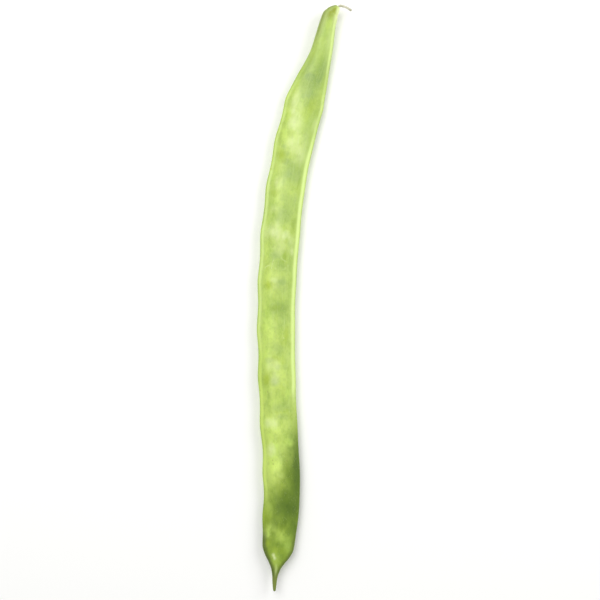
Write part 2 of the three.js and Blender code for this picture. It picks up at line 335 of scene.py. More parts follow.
# Small marks, as (cells a metre, shift, size as a fade in cells, noise that they are seen through, its
# fade, strength, colour)
SPECKS = ((330, 260, 330), (11, 4, 2), (0.13, 0.06), "sparse", (0.55, 0.7), 0.35, "blemish")
FLECKS = ((2300, 900, 2300), (3, 3, 3), (0.34, 0.12), "mottle", (0.4, 0.6), 0.16, "pale_green")

# Relief of the skin: shares of the noises, specks and flecks, and height in metres
RELIEF = {"fibre": 0.4, "grain": 0.35, "patch": 0.8, "mottle": 0.5}
SPECK_DEPTH = 0.5
FLECK_RISE = 0.25
RELIEF_HEIGHT = 0.00012
RELIEF_STRENGTH = 0.8
# What noise and wax add to the roughness
ROUGHNESS_NOISE = 0.16
WAX_ROUGHNESS = 0.1

# The stalk's fibre: its noise, fades of its dark grooves by noise and of its dark end by mm from the
# root, roughness and what noise adds to it, and relief in metres
FIBRE_NOISE = ((5200, 500, 5200), (0, 0, 0), 3, 0.6, 0)
FIBRE_GROOVES = (0.62, 0.4, 0.7)
FIBRE_END = (5.8, 7.2, 0.5)
FIBRE_ROUGHNESS = (0.78, 0.16)
FIBRE_HEIGHT = 0.00008

# Half the floor's width and the lights as (place, size), in metres, and the camera's place in mm beside
# the middle of the pod
FLOOR_HALF = 1.5
KEY_LIGHT = ((-0.25, 0.3, 0.68), 0.6)
SIDE_LIGHT = ((0.5, 0.25, 0.45), 0.4)
CAMERA_ASIDE = (-1.85, -0.7, 0)


def linear(red, green, blue):
    """Linear light of a colour given as sRGB from 0 to 255."""
    channels = np.array([red, green, blue]) / 255
    return tuple(np.where(channels <= 0.04045, channels / 12.92, ((channels + 0.055) / 1.055) ** 2.4))


def colour_property(name, description, srgb):
    """A colour that a user can change, given as sRGB from 0 to 255."""
    return FloatVectorProperty(
        name=name, description=description, default=linear(*srgb), size=3, min=0, max=1,
        subtype="COLOR")


def length_property(name, description, millimetres):
    """A length that a user can change, given in mm and kept in metres."""
    return FloatProperty(
        name=name, description=description, default=millimetres * MM, min=0, precision=5, unit="LENGTH")


def share_property(name, description, default):
    """A number from 0 to 1 that a user can change."""
    return FloatProperty(
        name=name, description=description, default=default, min=0, max=1, subtype="FACTOR")


class PodSettings(bpy.types.PropertyGroup):
    """Relief, colours and gloss of the pod."""

    seed_rise: length_property("Seed rise", "How far a seed swells each face", 0.45)
    seed_variation: length_property("Seed variation", "How much the seeds' rise differs", 0.1)
    unevenness: length_property("Unevenness", "Height of the faces' soft dents and waves", 0.09)
    green: colour_property("Green", "Most of the skin", (197, 220, 110))
    dull_green: colour_property("Dull green", "Greyer patches", (158, 184, 102))
    warm_green: colour_property("Warm green", "Yellower patches", (172, 196, 50))
    sunny_green: colour_property("Sunny green", "Brighter patches, partly painted light", (210, 235, 114))
    pale_green: colour_property("Pale green", "Waxy patches and painted highlights", (218, 232, 164))
    shade: colour_property("Mottle shade", "What the mottling and painted shade darken the greens by", (206, 216, 192))
    tip_green: colour_property("Tip green", "Towards the beak", (146, 172, 48))
    painted_shadow_green: colour_property("Deep green", "Painted shadow over the skin above the tip", (72, 104, 0))
    suture: colour_property("Suture", "Line along each edge", (218, 241, 148))
    suture_shade: colour_property("Suture shade", "Thin shade outside each line", (150, 180, 70))
    rim: colour_property("Rim", "Dark edges of the lower end, partly painted shade", (80, 96, 28))
    olive: colour_property("Olive", "Painted shade on the stem end's left edge", (124, 140, 68))
    beak: colour_property("Beak", "Tip of the beak", (118, 132, 54))
    knob: colour_property("Knob", "Stem end", (180, 192, 64))
    scar: colour_property("Scar", "Olive marks on the stem end", (136, 150, 8))
    painted_highlight_cream: colour_property("Cream", "Painted highlight on the stem end's right flank", (240, 246, 196))
    blemish: colour_property("Blemish", "Small specks", (134, 128, 60))
    roughness: share_property("Roughness", "Roughness of the skin", 0.42)
    wax: share_property("Wax", "Thin coat over the skin", 0.25)


class StalkSettings(bpy.types.PropertyGroup):
    """Size and colours of the dry stalk."""

    root_radius: length_property("Root radius", "Radius where the stalk leaves the pod", 0.46)
    tip_radius: length_property("Tip radius", "Radius at the stalk's end", 0.4)
    fibre: colour_property("Fibre", "Dried fibre", (214, 212, 192))
    dark: colour_property("Dark", "Shrivelled grooves and end", (174, 170, 144))


class StageSettings(bpy.types.PropertyGroup):
    """Camera, floor and lights."""

    lens: FloatProperty(name="Lens", description="Focal length in mm", default=85, min=20, max=200)
    view_width: length_property("View width", "Width of the view where the pod lies", 253.8)
    floor: colour_property("Floor", "Plain pale floor", (250, 250, 248))
    key_watts: FloatProperty(name="Key", description="Power of the key light", default=3.9, unit="POWER")
    side_watts: FloatProperty(name="Side", description="Power of the side light", default=2.1, unit="POWER")
    sky: FloatProperty(name="Sky", description="Strength of the even light all round", default=0.46)


class Value:
    """A node's output whose Python operators add Math nodes."""

    def __init__(self, shader, socket):
        self.shader = shader
        self.socket = socket

    def math(self, operation, first, second=0.0):
        return self.shader.node("ShaderNodeMath", {"operation": operation}, {0: first, 1: second})

    def __add__(self, other):
        return self.math("ADD", self, other)

    def __sub__(self, other):
        return self.math("SUBTRACT", self, other)

    def __rsub__(self, other):
        return self.math("SUBTRACT", other, self)

    def __mul__(self, other):
        return self.math("MULTIPLY", self, other)

    def __abs__(self):
        return self.math("ABSOLUTE", self)

    __radd__ = __add__
    __rmul__ = __mul__


class Shader:
    """A material under construction: its Principled node, and short ways to add other nodes."""

    def __init__(self, name, constants):
        self.material = bpy.data.materials.new(name)
        self.material.use_nodes = True
        self.nodes = self.material.node_tree.nodes
        self.links = self.material.node_tree.links
        self.principled = self.nodes["Principled BSDF"]
        for socket, value in constants.items():
            self.principled.inputs[socket].default_value = value

    def node(self, kind, settings, inputs, output=0):
        """Adds a node, sets it up, feeds its inputs and returns one of its outputs."""
        made = self.nodes.new(kind)
        for name, value in settings.items():
            setattr(made, name, value)
        for socket, value in inputs.items():
            self.feed(made.inputs[socket], value)
        return Value(self, made.outputs[output])

    def feed(self, socket, value):
        """Links a Value to a socket, or sets the socket to a constant."""
        if isinstance(value, Value):
            self.links.new(value.socket, socket)
        elif socket.type == "RGBA":
            socket.default_value = (*value[:3], 1)
        else:
            socket.default_value = value

    def attribute(self, name):
        """A vector kept at each vertex, and its three parts."""
        vector = self.node("ShaderNodeAttribute", {"attribute_name": name}, {}, "Vector")
        return vector, [self.node("ShaderNodeSeparateXYZ", {}, {0: vector}, axis) for axis in "XYZ"]

    def scaled(self, vector, scale, shift):
        """A vector stretched along its axes and moved."""
        return self.node("ShaderNodeMapping", {}, {"Vector": vector, "Scale": scale, "Location": shift})

    def noise(self, vector, scale, shift, detail, roughness, distortion):
        """Soft noise from 0 to 1, with its cycles a metre along each axis."""
        inputs = {
            "Vector": self.scaled(vector, scale, shift), "Scale": 1, "Detail": detail,
            "Roughness": roughness, "Distortion": distortion}
        return self.node("ShaderNodeTexNoise", {}, inputs)

    def cells(self, vector, scale, shift):
        """Distance to the nearest of many scattered points, 0 at a point."""
        inputs = {"Vector": self.scaled(vector, scale, shift), "Scale": 1}
        return self.node("ShaderNodeTexVoronoi", {"feature": "F1"}, inputs, "Distance")

    def step(self, value, low, high, top=1.0):
        """0 up to low, top from high and smooth between them; low may be above high."""
        settings = {"interpolation_type": "SMOOTHSTEP", "clamp": False}
        inputs = {"Value": value, "From Min": low, "From Max": high, "To Max": top}
        return self.node("ShaderNodeMapRange", settings, inputs)

    def mix(self, factor, first, second, blend="MIX"):
        """A colour between two, or the first multiplied by the second, by a factor."""
        settings = {"data_type": "RGBA", "blend_type": blend}
        return self.node("ShaderNodeMix", settings, {0: factor, 6: first, 7: second}, 2)

    def spot(self, place, across, along, reach_across, reach_along):
        """A round gradient on an oval spot: 1 in its middle, and lower by SPOT_FALL at each reach."""
        scale = (SPOT_FALL / (reach_across * MM), SPOT_FALL / (reach_along * MM), 0)
        shift = (-SPOT_FALL * across / reach_across, -SPOT_FALL * along / reach_along, 0)
        inputs = {"Vector": self.scaled(place, scale, shift)}
        return self.node("ShaderNodeTexGradient", {"gradient_type": "SPHERICAL"}, inputs, "Fac")

    def patches(self, place, ragged, spots):
        """How much of the patches covers a place: the sum of ovals that fade out over PATCH_FADE and
        are broken up by a ragged noise."""
        ragged = ragged * SPOT_FALL
        low, high = (1 - share * SPOT_FALL for share in PATCH_FADE)
        return sum(self.step(self.spot(place, *oval) - ragged, low, high, top) for *oval, top in spots)

    def rings(self, place, ragged, spots):
        """Thin broken lines round oval spots, at their reach."""
        edge = ragged * SPOT_FALL + (1 - SPOT_FALL)
        low, high = (width * SPOT_FALL for width in RING_FADE)
        return sum(self.step(abs(self.spot(place, *oval) - edge), low, high, top) for *oval, top in spots)

    def bump(self, height, distance, strength=1.0):
        """A normal from a height in metres."""
        inputs = {"Height": height, "Distance": distance, "Strength": strength}
        return self.node("ShaderNodeBump", {}, inputs)

    def finish(self, colour, roughness, normal):
        """Feeds the Principled node with what varies over the surface."""
        self.feed(self.principled.inputs["Base Color"], colour)
        self.feed(self.principled.inputs["Roughness"], roughness)
        self.feed(self.principled.inputs["Normal"], normal)
        return self.material


def profile(knots, s):
    """Values at the stations s of a monotone cubic through the knots, whose slope at a knot is the
    harmonic mean of the slopes beside it, and 0 where they differ in sign."""
    at, value = np.array(knots, float).T
    rate = np.diff(value) / np.diff(at)
    before = np.r_[rate[0], rate]
    after = np.r_[rate, rate[-1]]
    same = before * after > 0
    tangent = np.where(same, 2 * before * after / np.where(same, before + after, 1), 0)
    i = np.clip(np.searchsorted(at, s) - 1, 0, len(at) - 2)
    span = at[i + 1] - at[i]
    t = np.clip((s - at[i]) / span, 0, 1)
    rise = value[i + 1] - value[i]
    start, end = tangent[i] * span, tangent[i + 1] * span
    return value[i] + t * (start + t * (3 * rise - 2 * start - end + t * (start + end - 2 * rise)))


def bell(x, reach):
    """A bell curve that is 1 at 0."""
    return np.exp(-((x / reach) ** 2))


def mix(first, second, share):
    """A number between two, by a share."""
    return first + (second - first) * share


def side_value(side, values):
    """The value of each point's side, from those for the left (-1) and right (1)."""
    return np.where(side > 0, values[1], values[-1])


def smooth_curve(points, steps=400):
    """A centripetal Catmull-Rom curve through the points, as its lengths so far and its points."""
    points = np.array(points, float)
    padded = np.vstack([2 * points[0] - points[1], points, 2 * points[-1] - points[-2]])
    gap = np.sqrt(np.linalg.norm(np.diff(padded, axis=0), axis=1))[:, None]
    rate = np.diff(padded, axis=0) / gap
    tangent = rate[:-1] + rate[1:] - (padded[2:] - padded[:-2]) / (gap[:-1] + gap[1:])
    t = np.linspace(0, 1, steps, endpoint=False)[None, :, None]
    start, end = points[:-1, None], points[1:, None]
    out, back = (tangent[:-1] * gap[1:-1])[:, None], (tangent[1:] * gap[1:-1])[:, None]
    curve = (
        (2 * t**3 - 3 * t**2 + 1) * start + (t**3 - 2 * t**2 + t) * out
        + (3 * t**2 - 2 * t**3) * end + (t**3 - t**2) * back)
    curve = np.vstack([curve.reshape(-1, points.shape[1]), points[-1:]])
    lengths = np.r_[0, np.cumsum(np.linalg.norm(np.diff(curve, axis=0), axis=1))]
    return lengths, curve


def along_curve(curve, s):
    """Points and unit directions of a curve at the stations s."""
    lengths, points = curve
    direction = np.gradient(points, lengths, axis=0)
    at = [np.interp(s, lengths, axis) for axis in points.T]
    ahead = np.stack([np.interp(s, lengths, axis) for axis in direction.T], axis=-1)
    return np.stack(at, axis=-1), ahead / np.linalg.norm(ahead, axis=-1, keepdims=True)


MIDLINE_CURVE = smooth_curve(MIDLINE)


def section_frame(s):
    """Centres of the sections at the stations s, and unit vectors across the pod and up its face,
    turned about the midline by the roll."""
    plan, ahead = along_curve(MIDLINE_CURVE, s)
    centre = np.concatenate([plan, profile(MIDLINE_HEIGHT, s)[..., None]], axis=-1)
    flat_across = np.stack([ahead[..., 1], -ahead[..., 0], 0 * s], axis=-1)
    roll = np.radians(profile(ROLL_DEG, s))[..., None]
    upright = np.array([0, 0, 1])
    across = flat_across * np.cos(roll) - upright * np.sin(roll)
    up = upright * np.cos(roll) + flat_across * np.sin(roll)
    return centre, across, up


def seed_places():
    """Station of each seed in mm, and a number from -1 to 1 that sets how full it is."""
    k = np.arange(SEED_COUNT)
    at = SEED_FIRST + SEED_PITCH * k - SEED_PITCH_LOSS * k**2
    return at, np.sin(FULLNESS_STEP * k + FULLNESS_START)


def edge_wave(s):
    """How far the seeds push the edge out, from about -0.5 between seeds to 0.5 beside one."""
    at, _ = seed_places()
    first, last = EDGE_WAVE_SPAN
    fade = np.clip((s - first) / EDGE_WAVE_FADE, 0, 1) * np.clip((last - s) / EDGE_WAVE_FADE, 0, 1)
    return (bell(s[..., None] - at, EDGE_WAVE_REACH).sum(-1) - EDGE_WAVE_MIDDLE) * fade


def soft_waves(s, x, seed):
    """Soft dents and waves, mostly from -1 to 1: a sum of sines of long wavelength over the
    straightened pod, whose directions and starts are drawn at random."""
    draw = np.random.default_rng(seed)
    along = draw.uniform(*WAVES_ALONG, WAVE_COUNT)
    across = draw.uniform(*WAVES_ACROSS, WAVE_COUNT)
    start = draw.uniform(*WAVE_STARTS, WAVE_COUNT)
    return sum(np.sin(a * s + b * x + c) for a, b, c in zip(along, across, start)) / np.sqrt(WAVE_COUNT)


def pod_stations():
    """Stations of the pod's rows as a column, closer together towards its ends."""
    zones = [np.linspace(first, last, rows, endpoint=False) for first, last, rows in ROW_ZONES]
    return np.concatenate([*zones, [ROW_ZONES[-1][1]]])[:, None]


def scar_depth(s):
    """Depth of the ring-shaped scar: a bell curve along the stem end."""
    depth, reach = SCAR
    return depth * bell(s - SCAR_AT, reach)


def section_places(s, side, q):
    """Distance of a row's points and of its edge from the midline, where q is 0 on the edge and 1 on
    the midline. It is a cosine of q on an oval, and on a lens a cosine round the suture and then a
    power of q."""
    bead = profile(SUTURE_RADIUS, s)
    edge = profile(HALF_WIDTH, s) + side_value(side, EDGE_WAVE) * edge_wave(s) - scar_depth(s)
    inset = SUTURE_INSET * bead
    round_suture = edge - inset * (1 - np.cos(np.minimum(q / EDGE_SHARE, 1) * np.pi / 2))
    share = np.clip((q - EDGE_SHARE) / (1 - EDGE_SHARE), 0, 1) ** CROWDING
    lens = np.where(q < EDGE_SHARE, round_suture, (edge - inset) * (1 - share))
    return mix(edge * np.cos(q * np.pi / 2), lens, profile(FLATNESS, s)), edge


def seed_swelling(s, x, edge):
    """Height of the seeds in mm: a bell curve along the pod for each, times one across it, lower in
    the upper part."""
    settings = bpy.context.scene.bean_pod
    at, fullness = seed_places()
    rise = (settings.seed_rise + settings.seed_variation * fullness) / MM
    swell = (rise * bell(s[..., None] - at, SEED_REACH_ALONG)).sum(-1)
    return swell * bell(x / edge, SEED_REACH_ACROSS) * (1 - SEED_UPPER_LOSS * profile(UPPER_END, s))


def face_relief(s, x, edge, side, face):
    """Soft waves of a face less the line beside the suture, in mm."""
    height = bpy.context.scene.bean_pod.unevenness / MM
    waves = height * np.where(
        face > 0, soft_waves(s, side * x, WAVE_SEEDS[1]), soft_waves(s, side * x, WAVE_SEEDS[-1]))
    depth, reach = SUTURE_LINE
    loss = side_value(side, SUTURE_LINE_LOSS) * profile(UPPER_END, s)
    inset = SUTURE_INSET * profile(SUTURE_RADIUS, s)
    line = (side_value(side, SUTURE_LINE_SHARE) - loss) * depth * bell(x - edge + inset, reach)
    return waves - line


def section_height(s, x, edge, side, face):
    """Height of a face over the midline, and its seed swellings: the fourth root of the summed fourth
    powers of a lens and a round suture, with relief that fades towards the edge, less the scar."""
    flat = profile(FLATNESS, s)
    bead = profile(SUTURE_RADIUS, s)
    u = np.minimum(x / (edge - LENS_INSET * bead * flat), 1)
    lens = profile(HALF_THICKNESS, s) * (1 - u ** mix(*FACE_INNER, flat)) ** mix(*FACE_OUTER, flat)
    suture = np.sqrt(np.maximum(bead**2 - (x - edge + bead) ** 2, 0))
    joined = (lens**JOIN_POWER + suture**JOIN_POWER) ** (1 / JOIN_POWER)
    swell = seed_swelling(s, x, edge)
    relief = (swell + face_relief(s, x, edge, side, face)) * flat * (1 - u**RELIEF_POWER)
    return joined + relief - scar_depth(s) * np.sqrt(1 - u * u), swell


def suture_groove(s, x, z, edge, side):
    """Depth of the groove that splits the right suture: a bell curve over its height."""
    depth, reach = SUTURE_GROOVE
    on_suture = (side > 0) & (x > edge - profile(SUTURE_RADIUS, s))
    return depth * profile(FLATNESS, s) * bell(z, reach) * on_suture


def pod_grid():
    """The pod's grid in mm, a row for each station, cut off at the floor: its points, their places on
    the straightened pod, and the distance from the edge, side and seed swelling of each."""
    s = pod_stations()
    j = np.arange(4 * QUARTER)[None, :]
    side = np.where((j < QUARTER) | (j >= 3 * QUARTER), 1, -1)
    face = np.where(j < 2 * QUARTER, 1, -1)
    q = np.abs((j + QUARTER) % (2 * QUARTER) - QUARTER) / QUARTER

    x, edge = section_places(s, side, q)
    z, swell = section_height(s, x, edge, side, face)
    groove = suture_groove(s, x, z, edge, side)
    centre, across, up = section_frame(s)
    points = centre + across * (side * (x - groove))[..., None] + up * (face * z)[..., None]
    points[..., 2] = np.maximum(points[..., 2], 0)
    place = np.stack([side * x, s + 0 * x, face * z], axis=-1)
    swollen = swell / (bpy.context.scene.bean_pod.seed_rise / MM)
    rim = np.stack([edge - x, side + 0 * x, swollen], axis=-1)
    return points, place, rim


def ring(radius, angle):
    """Offsets of a ring's points from its middle, in the ring's own plane."""
    return radius * np.cos(angle), radius * np.sin(angle)


def even_angles(count):
    """Angles of points spread evenly round a ring, as a row."""
    return np.arange(count)[None, :] * 2 * np.pi / count


def cup_rows():
    """Round rows of the cup in the stem end, turned inwards from its rim, in the form of pod_grid."""
    at, radius = np.array(CUP).T[..., None]
    x, z = ring(radius, even_angles(4 * QUARTER))
    centre, across, up = section_frame(at)
    points = centre + across * x[..., None] + up * z[..., None]
    place = np.stack([x, at + 0 * x, z], axis=-1)
    rim = np.stack([radius + 0 * x, np.sign(x), 0 * x], axis=-1)
    return points, place, rim


def closed_mesh(name, rows, start, end, attributes):
    """A mesh from rows of points that close on themselves, with a fan to one point at each end."""
    count, around, _ = rows.shape
    points = np.vstack([rows.reshape(-1, 3), start, end]) * MM
    i, j = np.meshgrid(np.arange(count - 1), np.arange(around), indexing="ij")
    k = (j + 1) % around
    quads = np.stack([i * around + j, (i + 1) * around + j, (i + 1) * around + k, i * around + k], axis=-1)
    j, k = j[0], k[0]
    last = (count - 1) * around
    first_fan = np.stack([0 * j + count * around, j, k], axis=-1)
    last_fan = np.stack([0 * j + count * around + 1, last + k, last + j], axis=-1)
    mesh = bpy.data.meshes.new(name)
    mesh.from_pydata(points, [], quads.reshape(-1, 4).tolist() + first_fan.tolist() + last_fan.tolist())
    mesh.shade_smooth()
    for label, values in attributes.items():
        layer = mesh.attributes.new(label, "FLOAT_VECTOR", "POINT")
        layer.data.foreach_set("vector", values.astype(np.float32).ravel())
    return mesh


def pod_shift():
    """How far the pod's grid moves in X and Y, in mm, to lie where the frame's pod lies."""
    low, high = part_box("pod")
    points, _, _ = pod_grid()
    middle = (points.min(axis=(0, 1)) + points.max(axis=(0, 1))) / 2
    return np.array([(low.x + high.x) / 2 / MM - middle[0], (low.y + high.y) / 2 / MM - middle[1], 0])


def place_piece(name, mesh, material, node):
    """Adds a finished piece that stands for a node of the frame."""
    mesh.materials.append(material)
    piece = bpy.data.objects.new(name, mesh)
    bpy.context.scene.collection.objects.link(piece)
    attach(piece, "root")
    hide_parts(node)


def pod_mesh():
    """The pod as one closed surface, from the tip of its beak to the floor of the cup."""
    rows, place, rim = [np.concatenate(pair) for pair in zip(pod_grid(), cup_rows())]
    cup_floor = CUP[-1][0]
    start, end = [section_frame(np.array(s))[0] for s in (0.0, cup_floor)]
    place_ends = np.array([[0, 0, 0], [0, cup_floor, 0]])
    rim_ends = np.array([[0, 1, 0], [0, 1, 0]])
    attributes = {
        "place": np.vstack([place.reshape(-1, 3), place_ends]) * MM,
        "rim": np.vstack([rim.reshape(-1, 3), rim_ends]),
    }
    shift = pod_shift()
    return closed_mesh("pod_skin", rows + shift, start + shift, end + shift, attributes)


class PodSkin(Shader):
    """The pod's skin under construction: where a point lies, its noises and its colour so far. Places
    are in mm: across to the right of the midline, along from the tip of the beak, from the edge."""

    def __init__(self, look):
        super().__init__("pod_skin", {
            "Metallic": 0.0, "Specular IOR Level": 0.35, "Coat Weight": look.wax, "Coat Roughness": 0.4,
            "Subsurface Weight": 0.12, "Subsurface Scale": 0.0012, "Subsurface Radius": (0.7, 1.0, 0.25)})
        self.look = look
        self.colour = look.green
        self.place, parts = self.attribute("place")
        self.across, self.along, height = (part * (1 / MM) for part in parts)
        _, (self.from_edge, side, self.swell) = self.attribute("rim")
        self.right = self.step(side, -0.5, 0.5)
        self.underside = self.step(height, *UNDERSIDE_FADE)
        shift = {0: (0, UNDERSIDE_SHIFT * MM, 0), "Scale": self.underside}
        moved = self.node("ShaderNodeVectorMath", {"operation": "SCALE"}, shift)
        self.both_faces = self.node("ShaderNodeVectorMath", {"operation": "ADD"}, {0: self.place, 1: moved})
        self.noises = {name: self.noise(self.place, *values) for name, values in NOISES.items()}
        self.uneven = self.noises["patch"] - 0.5
        self.ragged = self.uneven * RAGGED[0] + (self.noises["mottle"] - 0.5) * RAGGED[1]

    def by_side(self, left, right):
        """One value on the left side of the pod and another on the right side."""
        return left + self.right * (right - left)

    def tint(self, factor, colour, blend="MIX"):
        """Mixes a colour into the skin's colour so far."""
        self.colour = self.mix(factor, self.colour, colour, blend)

    def darken_lower_end(self):
        """Darkens the greens towards the beak, further up on the right, partly as the skin's own darker
        green and partly as painted shadow, and returns by how much.
        """
        along, across, uneven = self.along, self.across, self.uneven * LOWER_UNEVEN
        left = self.step(along - across * LEFT_SLOPE + uneven, *LOWER_LEFT)
        right = self.step(along - across * RIGHT_SLOPE + uneven, *LOWER_RIGHT)
        lower = left + right - left * right
        self.tint(lower * LOWER_STRENGTH, self.look.tip_green)
        # Painted shadow, softened, deepest over the lower right
        painted_shadow_top = self.step(along - across * PAINTED_SHADOW_SLOPE + uneven, *PAINTED_SHADOW_TOP)
        self.tint(painted_shadow_top * self.step(along + uneven, *PAINTED_SHADOW_BOTTOM), self.look.painted_shadow_green)
        self.tint(self.patches(self.place, self.ragged * RAGGED_PAINTED_SHADOW, PAINTED_SHADOW_PATCHES), self.look.painted_shadow_green)
        return lower

    def mottle(self):
        """Patches that are brighter, partly painted light, duller and warmer patches, and shade by noises,
        with painted shade between the seeds and on the right.
        """
        for ovals, colour in (
            (SUNNY_PATCHES, self.look.sunny_green),
            (DULL_PATCHES, self.look.dull_green),
            (WARM_PATCHES, self.look.warm_green),
        ):
            self.tint(self.patches(self.both_faces, self.ragged, ovals), colour)
        by_noise = sum(self.step(self.noises[name], *fade) for name, fade in NOISE_SHADES.items())
        # Painted shade between the seeds and on the right
        on_seed = self.swell + self.noises["mottle"] * PAINTED_SHADE_BETWEEN_SEEDS_NOISE
        darkened = by_noise + self.step(on_seed, *PAINTED_SHADE_BETWEEN_SEEDS) + self.step(self.across, *RIGHT_SHADE)
        self.tint(darkened, self.look.shade, "MULTIPLY")

    def wax(self, lower):
        """Pale wax and painted highlights in patches, with a painted glint above the beak, and on the seeds,
        leaning to the left; pale wax along fibres. Returns that of the patches.
        """
        wax_and_highlight = self.patches(self.both_faces, self.ragged, WAX_AND_HIGHLIGHT_PATCHES)
        # Pale wax and painted highlights on the seeds, leaning to the left
        on_seed = self.swell + self.uneven * SEED_WAX_AND_HIGHLIGHT_NOISE - self.across * SEED_WAX_AND_HIGHLIGHT_LEAN
        seed_wax_and_highlight = self.step(on_seed, *SEED_WAX_AND_HIGHLIGHT) * (1 - lower) * self.step(self.along, *SEED_WAX_AND_HIGHLIGHT_TOP)
        self.tint(wax_and_highlight + seed_wax_and_highlight, self.look.pale_green)
        self.tint(self.step(self.noises["fibre"], *FIBRE_WAX) * (1 - lower), self.look.pale_green)
        return wax_and_highlight

    def scratch(self):
        """Thin pale broken rings on the upper face."""
        rings = self.rings(self.place, self.uneven * RAGGED_SCRATCHES, SCRATCHES)
        breaks = self.step(self.noises["mottle"], *SCRATCH_BREAKS)
        self.tint(rings * breaks * (1 - self.underside), self.look.pale_green)

    def tint_ends(self):
        """The stem end's painted highlight on its right flank, scar marks and painted shade on its left
        edge, and the lower end's dark edges, partly painted shade.
        """
        ragged = self.ragged * RAGGED_STEM
        # The stem end's right flank, with a painted highlight
        self.tint(self.patches(self.place, ragged, PAINTED_HIGHLIGHT_PATCHES), self.look.painted_highlight_cream)
        self.tint(self.patches(self.place, ragged, SCAR_PATCHES), self.look.scar)
        torn = self.from_edge + self.uneven * EDGE_TORN
        # The stem end's left edge, in painted shade
        stem_left = self.step(self.along, *STEM_EDGE) * self.step(self.across, *STEM_LEFT)
        self.tint(stem_left * self.step(torn, STEM_EDGE_REACH, EDGE_FULL), self.look.olive)
        # The lower end's dark edges, partly the skin's own and partly painted shade
        low_edge = self.step(torn, self.by_side(*LOW_EDGE_REACH), EDGE_FULL)
        low_edge = low_edge * self.step(self.along, *LOW_EDGE) * self.by_side(*LOW_EDGE_STRENGTH)
        self.tint(low_edge, self.look.rim)

    def line_sutures(self):
        """A pale line along each suture and on the right of the neck, where it is partly a painted
        highlight, with a painted glow inside it and a thin painted shade outside. The right line's late
        start is painted shadow."""
        along = self.along
        start = self.by_side(*LINE_START)
        body = self.step(along, start, start + LINE_START_LENGTH)
        upper = self.step(along, self.by_side(*LINE_DULLER_FROM), LINE_DULLER_TO)
        neck = self.right * self.step(along, *NECK_LINE) * self.step(along, *NECK_LINE_TOP)
        line = body * (1 - upper * self.by_side(*LINE_LOSS)) + neck
        sunny = self.step(along, *SUNNY_LINE) * (1 - self.right)
        tint = self.mix(sunny, self.look.suture, self.look.sunny_green)
        ridge = self.by_side(RIDGE[0], RIDGE[1] - upper * RIDGE_SHIFT)
        glow = self.step(self.from_edge, self.by_side(*GLOW_REACH), ridge) * line
        self.tint(glow * self.by_side(*GLOW_STRENGTH), tint)
        from_ridge = abs(self.from_edge - ridge + self.uneven * RIDGE_UNEVEN)
        reach = self.by_side(BRIGHT_REACH[0], BRIGHT_REACH[1] - upper * BRIGHT_LOSS)
        bright = self.step(from_ridge, reach, BRIGHT_FULL) * line
        self.tint(bright * self.by_side(*BRIGHT_STRENGTH), tint)
        # Painted shade along each edge
        shade = self.step(self.from_edge, *EDGE_SHADE) * self.step(along, *EDGE_SHADE_TOP)
        self.tint(shade * self.by_side(*EDGE_SHADE_STRENGTH), self.look.suture_shade)

    def mark(self, scale, shift, size, noise, fade, strength, colour):
        """Small marks of one colour, seen through a noise. Returns them, for the relief."""
        marks = self.step(self.cells(self.place, scale, shift), *size) * self.step(self.noises[noise], *fade)
        self.tint(marks * strength, getattr(self.look, colour))
        return marks


def pod_skin():
    """Skin of the pod: greens mottled along it, pale wax, warm and dull patches, brighter patches, pale
        sutures, a darker lower end, an olive beak and stem end, specks and fine fibres, with painted
        highlights, painted shade and painted shadow among them."""
    look = bpy.context.scene.bean_pod
    skin = PodSkin(look)
    noises = skin.noises
    skin.tint(skin.step(noises["patch"], *WARMTH), look.warm_green)
    lower = skin.darken_lower_end()
    skin.tint(skin.step(skin.along, *STEM_TINT), look.knob)
    skin.mottle()
    wax_and_highlight = skin.wax(lower)
    skin.scratch()
    skin.tint_ends()
    skin.line_sutures()
    skin.tint(skin.step(skin.along + noises["patch"] * BEAK_UNEVEN, *BEAK_TINT), look.beak)
    specks = skin.mark(*SPECKS)
    flecks = skin.mark(*FLECKS)

    noise = (skin.uneven + (noises["grain"] - 0.5)) * ROUGHNESS_NOISE
    relief = sum(noises[name] * share for name, share in RELIEF.items())
    relief = relief - specks * SPECK_DEPTH + flecks * FLECK_RISE
    normal = skin.bump(relief, RELIEF_HEIGHT, RELIEF_STRENGTH)
    return skin.finish(skin.colour, look.roughness + noise + wax_and_highlight * WAX_ROUGHNESS, normal)


def stalk_curve():
    """The stalk's line, from its root in the cup past the rim of the stem end, in mm."""
    root, _, _ = section_frame(np.array(STALK_ROOT))
    rim, _, _ = section_frame(np.array(MIDLINE_CURVE[0][-1]))
    return smooth_curve([root, rim, *(rim + np.array(step) for step in STALK_REACH)])


def stalk_radius(share, angle):
    """Radius of the stalk in mm at a share of its length and an angle: a taper times shrivelled ribs,
    knots, a thin root and a blunt end."""
    look = bpy.context.scene.bean_stalk
    ribs = 1 + sum(
        rise * np.cos(count * angle + twist * share + start)
        for rise, count, twist, start in STALK_RIBS)
    rise, waves, start, swell = STALK_KNOTS
    knots = 1 + rise * np.sin(waves * share + start) * np.sin(swell * share)
    blunt_from, blunt_length = STALK_BLUNT
    blunt = np.sqrt(1 - np.clip((share - blunt_from) / blunt_length, 0, 1) ** 2)
    thin, gain, thin_end = STALK_THIN_ROOT
    root = thin + gain * np.minimum(share / thin_end, 1)
    return mix(look.root_radius, look.tip_radius, share) / MM * ribs * knots * blunt * root


